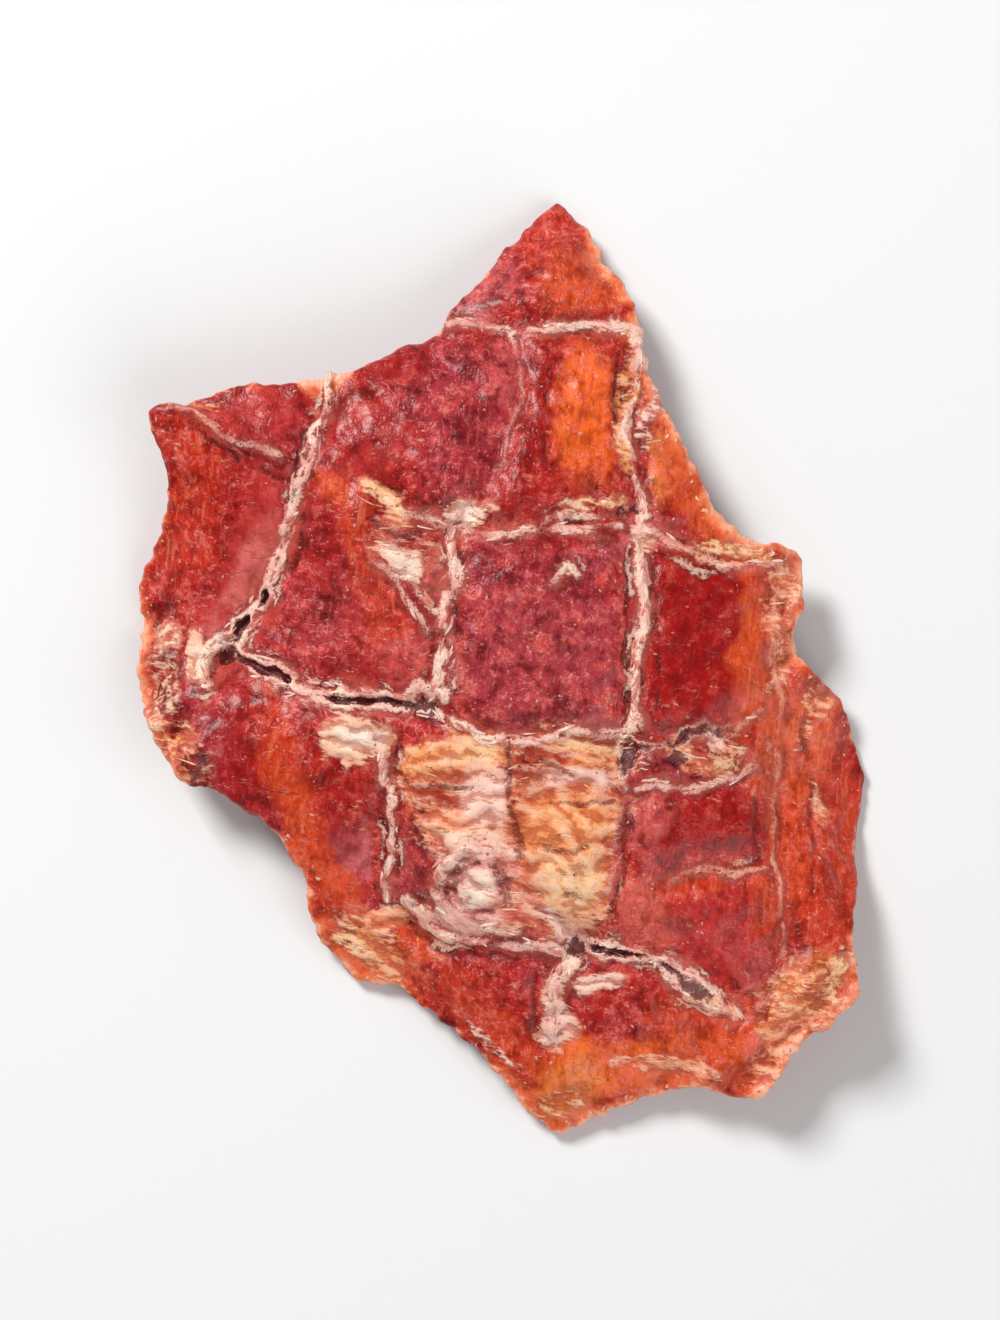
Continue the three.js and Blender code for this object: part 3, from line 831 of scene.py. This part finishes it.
# Noises: size of the lumps in millimetres, detail, roughness, turn in degrees and stretch.
meatGrains = {
    "mottle": (2.4, 3),
    "patchy": (1.1, 3, 0.6),
    "fine": (0.45, 3, 0.6),
    "dust": (0.18, 2, 0.6),
    "fibres": (0.35, 3, 0.6, sliceSettings["fibreTurn"], (1, 9, 1)),
    "layers": (0.3, 3, 0.65, 0, (5, 5, 1)),
    "streaks": (0.42, 3, 0.65, 80, (1, 3, 1)),
}
meatFinish = {
    "Specular IOR Level": 0.26,
    "Coat Roughness": 0.12,
    "Subsurface Weight": 0.15,
    "Subsurface Radius": (1.0, 0.28, 0.14),
    "Subsurface Scale": 0.5 * mm,
}


def meatWires(wire):
    # the values of the slice's points, the noises and the masks that the layers below share
    names = ("seamGap", "lipPower", "crackPower", "creaseGap", "creasePower", "pit", "pale", "calm",
             "ripple", "fiery", "rimGap", "rimPale", "upper", "lower")
    on = SimpleNamespace(**{name: wire.attribute(name) for name in names})
    for name, grain in meatGrains.items():
        setattr(on, name, wire.grain(*grain))
    on.tint, on.skinTint = [wire.attribute(name, "Color") for name in ("tint", "skinTint")]
    on.wall = (1 - on.upper - on.lower).rise(0.1, 0.7)
    on.threads = wire.thread(1.5, 0.04) * on.patchy.rise(0.46, 0.6) * (1 - 0.8 * on.calm)
    on.wrinkles = wire.thread(2.1, 0.03)
    on.kept = on.pale + noise(on, streaks=1.8, fine=0.8, mottle=0.8)
    on.skin = on.kept.rise(0.24, 0.7)
    on.course = on.seamGap + noise(on, patchy=0.7, fine=0.7, dust=0.5)
    on.fromLip = abs(on.course - lipOffset(on.crackPower))
    on.crease, on.torn, on.deep = creaseShare(on), tornShare(on), deepShare(on)
    return on


def noise(on, **amounts):
    # a sum of noises that swing round zero, each by its amount
    return sum((getattr(on, name) - 0.5) * amount for name, amount in amounts.items())


def creaseShare(on):
    crease = (0.2 + noise(on, fine=0.7, dust=0.4) - on.creaseGap).rise(-0.08, 0.14)
    return crease * (on.creasePower + noise(on, patchy=0.8)).rise(0.15, 0.65) * on.upper


def tornShare(on):
    # the lips themselves and, in places, a second thin line beside them
    near = (on.lipPower * 0.36 + noise(on, patchy=0.8) - on.fromLip).rise(-0.1, 0.16)
    far = (on.lipPower * 0.2 + noise(on, mottle=1.6) - 0.15 - abs(on.fromLip - 0.7)).rise(0, 0.2)
    gaps = (on.fine + on.dust * 0.6).rise(0.78, 0.6) * 0.3
    return (near + far * 0.6).rise(0, 1) * (1 - gaps) * on.upper


def deepShare(on):
    # open cracks and torn pits, which get a dark tone as painted shade
    crack = on.course.rise(0.4, 0.2) * (on.crackPower + noise(on, patchy=1.2)).rise(0.3, 0.6)
    hollow = (on.pit + noise(on, fine=1.6, dust=0.8)).rise(0.45, 0.85)
    return (crack + hollow).rise(0, 1) * on.upper


def tintMeat(colour, on):
    # darker and lighter mottles, fibres, pale threads and dark wrinkles
    uneasy = (1 - 0.4 * on.calm - 0.45 * on.fiery) * (1 - 0.55 * on.lower)
    colour = colour.times(on.mottle.rise(0.52, 0.34) * 0.85 * uneasy, meatShades["mottle"])
    colour = colour.blend(on.mottle.rise(0.54, 0.7) * (0.22 - 0.16 * on.calm), meatTones["mottle"])
    colour = colour.times(on.patchy.rise(0.49, 0.35) * 0.9 * uneasy, meatShades["mottle"])
    colour = colour.blend(on.patchy.rise(0.54, 0.67) * (0.42 - 0.22 * on.calm), meatTones["patch"])
    colour = colour.times(on.fine.rise(0.47, 0.35) * 0.55 * uneasy, meatShades["fine"])
    colour = colour.times(on.fibres.rise(0.5, 0.32) * (0.5 + 0.2 * on.fiery), meatShades["fibre"])
    colour = colour.blend(on.fibres.rise(0.54, 0.72) * (0.3 - 0.22 * on.calm), meatTones["fibre"])
    colour = colour.blend(on.fibres.rise(0.52, 0.68) * on.fiery * 0.35, meatTones["fieryFibre"])
    colour = colour.blend(on.threads * 0.28, meatTones["thread"])
    colour = colour.times(on.wrinkles * 0.35, meatShades["wrinkle"])
    dots = (on.fine + noise(on, mottle=0.4)).rise(0.58, 0.7) * (1 - 0.8 * on.calm)
    colour = colour.blend(dots * (on.upper + on.lower * 0.4) * 0.42, meatTones["dot"])
    specks = (on.dust + noise(on, patchy=0.5)).rise(0.6, 0.74) * (1 - 0.8 * on.calm)
    return colour.blend(specks * (on.upper + on.lower * 0.6) * 0.45, meatTones["speck"])


def stainSeams(colour, on):
    # beside the lips of the seams the meat darkens in places, partly a dried juice stain and partly painted
    # shade beside the sunken seams, and paler meat shows in others
    beside = on.lipPower.rise(0.1, 0.6) * on.upper
    stain = (on.lipPower * 0.3 + 0.5 + noise(on, mottle=2, fine=1) - on.fromLip).rise(-0.1, 0.25)
    colour = colour.times(stain * beside * 0.9, meatShades["stain"])
    glow = (on.lipPower * 0.5 + 0.3 + noise(on, mottle=-2, fine=1) - on.fromLip).rise(-0.2, 0.6)
    return colour.blend(glow * beside * 0.45, meatTones["glow"])


def dryRim(colour, on):
    # the upper side of the rim dried orange, then peach and, at its very edge, pale; on the left rim at
    # -24.6, 8 these pale bands are a painted highlight along the edge
    ragged = noise(on, patchy=1.8, mottle=2, fine=0.8)
    for reach, added, soft, tone in rimBands:
        band = (on.rimPale * reach + added + ragged - on.rimGap).rise(0, soft)
        colour = colour.blend(band * on.upper * 0.75, tone)
    edge = (on.rimPale * 0.4 + 0.05 + noise(on, patchy=1.2, fine=0.5) - on.rimGap).rise(0, 0.25)
    colour = colour.blend(edge * on.upper * 0.7, meatTones["rimEdge"])
    # underneath, the thin rim is painted orange as painted light shining through it
    thin = (1.6 + ragged * 1.2 - on.rimGap).rise(0, 1.8)
    return colour.blend(thin * on.lower * 0.6, meatTones["thinRim"])


def tearWall(colour, on):
    # torn layers of fibres and some pale crust on the side of the rim
    colour = colour.times(on.wall * on.layers.rise(0.52, 0.36) * 0.6, meatShades["layer"])
    colour = colour.blend(on.wall * on.layers.rise(0.5, 0.64) * 0.55, meatTones["layer"])
    scab = (on.rimPale * 0.8 + noise(on, patchy=3, fine=1.5) - 0.5).rise(0, 0.4)
    return colour.blend(scab * on.wall * 0.7, meatTones["scab"])


def laySkin(colour, on):
    # pale skin with ripples and streaks, lighter on the ripples' crests as a painted highlight and darker in
    # their troughs as painted shade, and a darker fringe round its torn edge that is partly a painted shadow
    crest = on.ripple + noise(on, streaks=6, patchy=3)
    # the ripples' crests are lightened as a painted highlight and their troughs darkened as painted shade
    skin = on.skinTint.blend(crest.rise(0.1, 1.1) * 0.42, meatTones["skinCrest"])
    skin = skin.times(crest.rise(0, -1) * 0.95, meatShades["skinTrough"])
    skin = skin.times(on.mottle.rise(0.5, 0.36) * 0.4, meatShades["skinMottle"])
    # round the skin's torn edge, a lighter fringe in places and a painted shadow in others
    fringe = (on.kept.rise(0, 0.3) - on.skin).rise(0, 0.6) * on.pale.rise(0.02, 0.2)
    colour = colour.blend(fringe * on.mottle.rise(0.45, 0.55) * 0.6, meatTones["fringe"])
    colour = colour.times(fringe * on.mottle.rise(0.53, 0.43) * 0.5, meatShades["fringe"])
    return colour.blend(on.skin * 0.92, skin)


def openSeams(colour, on):
    # dark creases, torn lips and open cracks; the creases and cracks are darkened with painted shade, and the
    # lips' crests get a partly painted highlight
    # the creases are darkened with painted shade
    colour = colour.times(on.crease * 0.88, meatShades["crease"])
    bright = (on.lipPower + noise(on, mottle=0.8)).rise(0.3, 0.75)
    lip = on.tint.blend(0.6 + 0.32 * bright, meatTones["lip"])
    # near-white crests of the lips: pale crust, partly a painted highlight
    lip = lip.blend(on.mottle.rise(0.46, 0.6) * bright * 0.6, meatTones["lipCrust"])
    lip = lip.blend(on.fiery * 0.6, meatTones["fieryLip"])
    lip = lip.times(on.dust.rise(0.5, 0.36) * 0.4, meatShades["lipDust"])
    colour = colour.blend(on.torn * (0.6 + 0.35 * bright), lip)
    # the cracks and pits are darkened with painted shade
    return colour.blend(on.deep * 0.88, meatTones["crack"])


def meatHeight(on):
    height = on.fine * 0.5 + on.dust * 0.25 + on.fibres * 0.5
    height = height + on.torn * 0.6 - on.deep * 0.6 - on.crease * 0.5
    height = height + on.skin * (on.streaks * 0.6 + 0.4) + on.threads * 0.3 - on.wrinkles * 0.3
    return height + on.wall * on.layers * 1.5


def meatMaterial():
    material, wire = startMaterial("driedMeat")
    on = meatWires(wire)
    colour = on.tint
    for layer in (tintMeat, stainSeams, dryRim, tearWall, laySkin, openSeams):
        colour = layer(colour, on)
    relief = {"Strength": 0.75, "Distance": 0.13 * mm, "Height": meatHeight(on)}
    finishMaterial(wire, {
        **meatFinish,
        "Base Color": colour,
        "Roughness": 0.24 + on.fine * 0.16 + on.torn * 0.12 + on.skin * 0.06,
        "Normal": wire.add("ShaderNodeBump", inputs=relief),
        "Coat Weight": 0.05 + on.calm * 0.05,
    })
    return material


# Small loose things on the slice: each model is made once, and its copies are joined into one mesh

def modelOf(piece):
    # a model's points in millimetres and its faces, after which the model itself goes
    points = readVertices(piece.data, "co") / mm
    faces = [tuple(face.vertices) for face in piece.data.polygons]
    bpy.data.objects.remove(piece)
    return points, faces


def joinCopies(name, copies, material):
    # copies holds a model, its axes as rows times its size, and its place
    corners, faces, along, first = [], [], [], 0
    for (points, loops), axes, place in copies:
        corners.append(points @ axes + place)
        faces += [[first + corner for corner in loop] for loop in loops]
        along.append(np.clip(points[:, 0], 0, 1))
        first += len(points)
    mesh = bpy.data.meshes.new(name)
    mesh.from_pydata(np.concatenate(corners) * mm, [], faces)
    keepValues(mesh, along=np.concatenate(along))
    mesh.update()
    piece = bpy.data.objects.new(name, mesh)
    bpy.context.collection.objects.link(piece)
    selectOnly(piece)
    bpy.ops.object.shade_smooth()
    mesh.materials.append(material)
    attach(piece, "root")
    print(name, "made of", len(copies), "copies,", len(faces), "faces")


def dropOn(surface, x, y, leastUp=-1):
    # place in millimetres and normal of the slice under a point, or None where it is too steep
    place, normal, index, distance = surface.ray_cast(Vector((x * mm, y * mm, 1)), Vector((0, 0, -1)))
    if place is None or normal.z < leastUp:
        return None, None
    return np.array(place) / mm, np.array(normal)


def axesFor(normal, direction, tilt, size):
    # rows for a model whose x runs along a direction over the surface, tilted up by an angle
    run = direction - normal * (direction @ normal)
    run = run / np.linalg.norm(run)
    side = np.cross(normal, run)
    ahead = run * math.cos(tilt) + normal * math.sin(tilt)
    above = np.cross(ahead, side)
    return np.array([ahead, side, above]) * np.array(size)[:, None]


modelCounts = {"flakes": 6, "strands": 6, "crumbs": 4}
flakeShape = {"thickness": 0.07, "curl": 0.3, "narrowing": 0.45, "ragged": 0.1}
strandShape = {"thickness": 1.3, "uneven": 0.4, "lump": 0.3, "waves": 0.7, "wave": 0.45}
crumbShape = {"uneven": (0.75, 1.2)}


def modelFlake(settings, draw):
    # a ragged curled scale of skin, 1 mm long and 1 mm wide, that runs along x from its root
    bpy.ops.mesh.primitive_grid_add(x_subdivisions=3, y_subdivisions=3, size=mm, location=(mm / 2, 0, 0))
    flake = bpy.context.object
    selectOnly(flake)
    bpy.ops.object.transform_apply(location=True)
    points = readVertices(flake.data, "co") / mm
    ragged = draw.normal(0, settings["ragged"], points.shape)
    points[:, 1] *= 1 - settings["narrowing"] * points[:, 0] ** 2
    points[:, 2] = settings["curl"] * points[:, 0] ** 2
    points += ragged * np.array([1, 1, 0.5])
    flake.data.vertices.foreach_set("co", (points * mm).ravel())
    flake.data.update()
    applyModifier(flake, "SOLIDIFY", thickness=settings["thickness"] * mm, offset=0)
    return modelOf(flake)


def modelStrand(settings, draw):
    # a wavy strand of torn meat, 1 mm long and about 1 mm thick before its copies are sized
    bpy.ops.mesh.primitive_uv_sphere_add(segments=6, ring_count=8, radius=mm / 2)
    strand = bpy.context.object
    strand.rotation_euler = (0, math.radians(90), 0)
    selectOnly(strand)
    bpy.ops.object.transform_apply(rotation=True)
    points = readVertices(strand.data, "co") / mm + np.array([0.5, 0, 0])
    along = np.array([1, 0, 0])
    swelling = lumps(points * along, settings["lump"], draw.integers(100))[:, None]
    points[:, 1:] *= settings["thickness"] + settings["uneven"] * swelling
    points[:, 1] += settings["waves"] * lumps(points * along, settings["wave"], draw.integers(100))
    strand.data.vertices.foreach_set("co", (points * mm).ravel())
    strand.data.update()
    return modelOf(strand)


def modelCrumb(settings, draw):
    # an uneven crumb, 1 mm across
    bpy.ops.mesh.primitive_ico_sphere_add(subdivisions=1, radius=mm / 2)
    crumb = bpy.context.object
    points = readVertices(crumb.data, "co") * draw.uniform(*settings["uneven"], (len(crumb.data.vertices), 1))
    crumb.data.vertices.foreach_set("co", points.ravel())
    return modelOf(crumb)


# For each loose thing: how many, sizes in millimetres, tilt in degrees, "leastUp", which keeps it off
# steep places, and the name, darkest tone, lightest tone and roughness of its material.
seamStrands = {
    "perMillimetre": 3,
    "spread": 0.16,  # to either side of a lip
    "leastLip": 0.55,  # strength of the lips from which they are torn into strands
    "length": (0.5, 1.6),
    "width": (0.09, 0.22),
    "height": 0.12,
    "tilt": (-4, 5),
    "leastUp": 0.3,
    "material": ("tornMeat", paint(226, 132, 118), paint(252, 214, 196), 0.36),
}
skinStrands = {
    "count": 160,
    "length": (0.5, 1.8),
    "width": (0.05, 0.13),
    "height": 0.06,
    "tilt": (-3, 3),
    "leastUp": 0.3,
    "material": ("paleSkin", paint(224, 142, 102), paint(244, 204, 172), 0.4),
}
rimFlakes = {
    "perMillimetre": 2,
    "inwards": (0.35, 1.3),  # from the outline
    "length": (0.15, 0.4),
    "width": (0.2, 0.5),
    "tilt": (-10, 10),
    "leastUp": 0.2,
    "material": ("driedRim", paint(216, 110, 66), paint(242, 190, 146), 0.5),
}
juiceSpecks = {
    "count": 1500,
    "size": (0.07, 0.24),
    "proportions": np.array([1.5, 1, 0.6]),
    "leastUp": 0.4,
    "material": ("driedJuice", paint(206, 98, 92), paint(234, 166, 154), 0.4),
}
looseSeed = 5


def ranged(draw, ends):
    return draw.uniform(*ends)


def flakeAxes(settings, draw, normal, direction):
    tilt = math.radians(ranged(draw, settings["tilt"]))
    length, width = ranged(draw, settings["length"]), ranged(draw, settings["width"])
    return axesFor(normal, direction, tilt, (length, width, settings.get("height", length)))


def layStrand(copies, surface, models, settings, draw, place, normal, direction):
    # adds a strand with its middle at a place, if the slice lies under both of its ends
    past, sunk = 0.7, 0.02  # how far past its middle the slice is looked for, and millimetres
    axes = flakeAxes(settings, draw, normal, direction)
    ends = [dropOn(surface, *(place + share * axes[0])[:2])[0] for share in (-past, past)]
    if ends[0] is not None and ends[1] is not None:
        copies.append((models[draw.integers(len(models))], axes, place - 0.5 * axes[0] - sunk * normal))


def strandCopies(surface, models, settings, draw):
    copies = []
    for depth, strength, line in seamStretches:
        for start, end in zip(line, line[1:]):
            start, run = np.array([*start, 0]), np.array([*end, 0]) - np.array([*start, 0])
            length = np.linalg.norm(run)
            across = np.array([-run[1], run[0], 0]) / length
            for strand in range(int(length * strength * settings["perMillimetre"])):
                side = draw.choice((-1, 1))
                offset = side * (lipOffset(depth) + draw.normal(0.05, settings["spread"]))
                wish = start + draw.random() * run + across * offset
                spot = 2 * wish[None] - seamCourse(wish[None])
                gap, lipPower, crackPower = seamField(spot)
                place, normal = dropOn(surface, *spot[0, :2], settings["leastUp"])
                if lipPower[0] * draw.uniform(0.7, 1.3) < settings["leastLip"] or place is None:
                    continue
                direction = draw.choice((-1, 1)) * run / length + across * draw.normal(0, 0.2)
                layStrand(copies, surface, models, settings, draw, place, normal, direction)
    return copies


def skinStrandCopies(surface, models, settings, draw):
    copies = []
    while len(copies) < settings["count"]:
        x, y, halfX, halfY = palePatches[draw.integers(len(palePatches))][1:5]
        spot = np.array([x, y]) + draw.uniform(-0.7, 0.7, 2) * np.array([halfX, halfY])
        place, normal = dropOn(surface, *spot, settings["leastUp"])
        if place is None or draw.random() > halfX * halfY / 8:  # a larger patch gets more
            continue
        direction = np.array([draw.choice((-1, 1)), draw.normal(0, 0.25), 0])
        layStrand(copies, surface, models, settings, draw, place, normal, direction)
    return copies


def rimFlakeCopies(surface, models, settings, draw, outline):
    copies = []
    for start, end, outwards in outline:
        length = np.linalg.norm(end - start)
        share = paleRimShare(np.array([[*start, 0]]))[0]
        for flake in range(draw.poisson(length * share * settings["perMillimetre"])):
            spot = start + draw.random() * (end - start) - outwards[:2] * ranged(draw, settings["inwards"])
            place, normal = dropOn(surface, *spot, settings["leastUp"])
            if place is None:
                continue
            axes = flakeAxes(settings, draw, normal, draw.normal(0, 1, 3))
            copies.append((models[draw.integers(len(models))], axes, place - 0.05 * normal))
    return copies


def speckCopies(surface, models, settings, draw):
    low, high = (cadLow.x / mm, cadLow.y / mm, 0), (cadHigh.x / mm, cadHigh.y / mm, 0.001)
    spots = draw.uniform(low, high, (settings["count"], 3))
    wanted = 0.4 + 0.6 * shareOf(spots, tintPatches, "mauve") - 0.3 * shareOf(spots, tintPatches, "deepRed")
    copies = []
    for spot in spots[draw.random(len(spots)) < wanted]:
        place, normal = dropOn(surface, *spot[:2], settings["leastUp"])
        if place is not None:
            size = ranged(draw, settings["size"]) * settings["proportions"]
            axes = axesFor(normal, draw.normal(0, 1, 3), 0, size)
            copies.append((models[draw.integers(len(models))], axes, place))
    return copies


def smallMaterial(name, dark, light, roughness):
    # a pale material that varies from place to place, darker towards the root of each copy
    material, wire = startMaterial(name)
    tones = {0: wire.grain(1.4, 2).rise(0.4, 0.6), 6: (*dark, 1), 7: (*light, 1)}
    colour = wire.add("ShaderNodeMix", {"data_type": "RGBA"}, tones, 2)
    colour = colour.times(wire.attribute("along").rise(0.6, 0) * 0.5, (0.78, 0.5, 0.46))
    colour = colour.times(wire.grain(0.15, 2).rise(0.5, 0.3) * 0.5, (0.7, 0.5, 0.45))
    finishMaterial(wire, {
        "Base Color": colour,
        "Roughness": roughness,
        "Specular IOR Level": 0.34,
        "Subsurface Weight": 0.3,
        "Subsurface Radius": (1.0, 0.5, 0.35),
        "Subsurface Scale": 0.4 * mm,
    })
    return material


makeStage(stageSettings)
makeLamps(lampSettings)
print("stage, camera and lamps made")

driedSlice, outline = makeSlice(sliceSettings)
driedSlice.data.materials.append(meatMaterial())
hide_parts(treatNode)
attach(driedSlice, "root")
print("slice made with", len(driedSlice.data.polygons), "faces")

bpy.context.view_layer.update()
surface = BVHTree.FromObject(driedSlice, bpy.context.evaluated_depsgraph_get())
draw = np.random.default_rng(looseSeed)
flakes = [modelFlake(flakeShape, draw) for flake in range(modelCounts["flakes"])]
strands = [modelStrand(strandShape, draw) for strand in range(modelCounts["strands"])]
joinCopies("tornStrands", strandCopies(surface, strands, seamStrands, draw),
           smallMaterial(*seamStrands["material"]))
joinCopies("skinStrands", skinStrandCopies(surface, strands, skinStrands, draw),
           smallMaterial(*skinStrands["material"]))
joinCopies("rimFlakes", rimFlakeCopies(surface, flakes, rimFlakes, draw, outline),
           smallMaterial(*rimFlakes["material"]))
crumbs = [modelCrumb(crumbShape, draw) for crumb in range(modelCounts["crumbs"])]
joinCopies("juiceSpecks", speckCopies(surface, crumbs, juiceSpecks, draw),
           smallMaterial(*juiceSpecks["material"]))
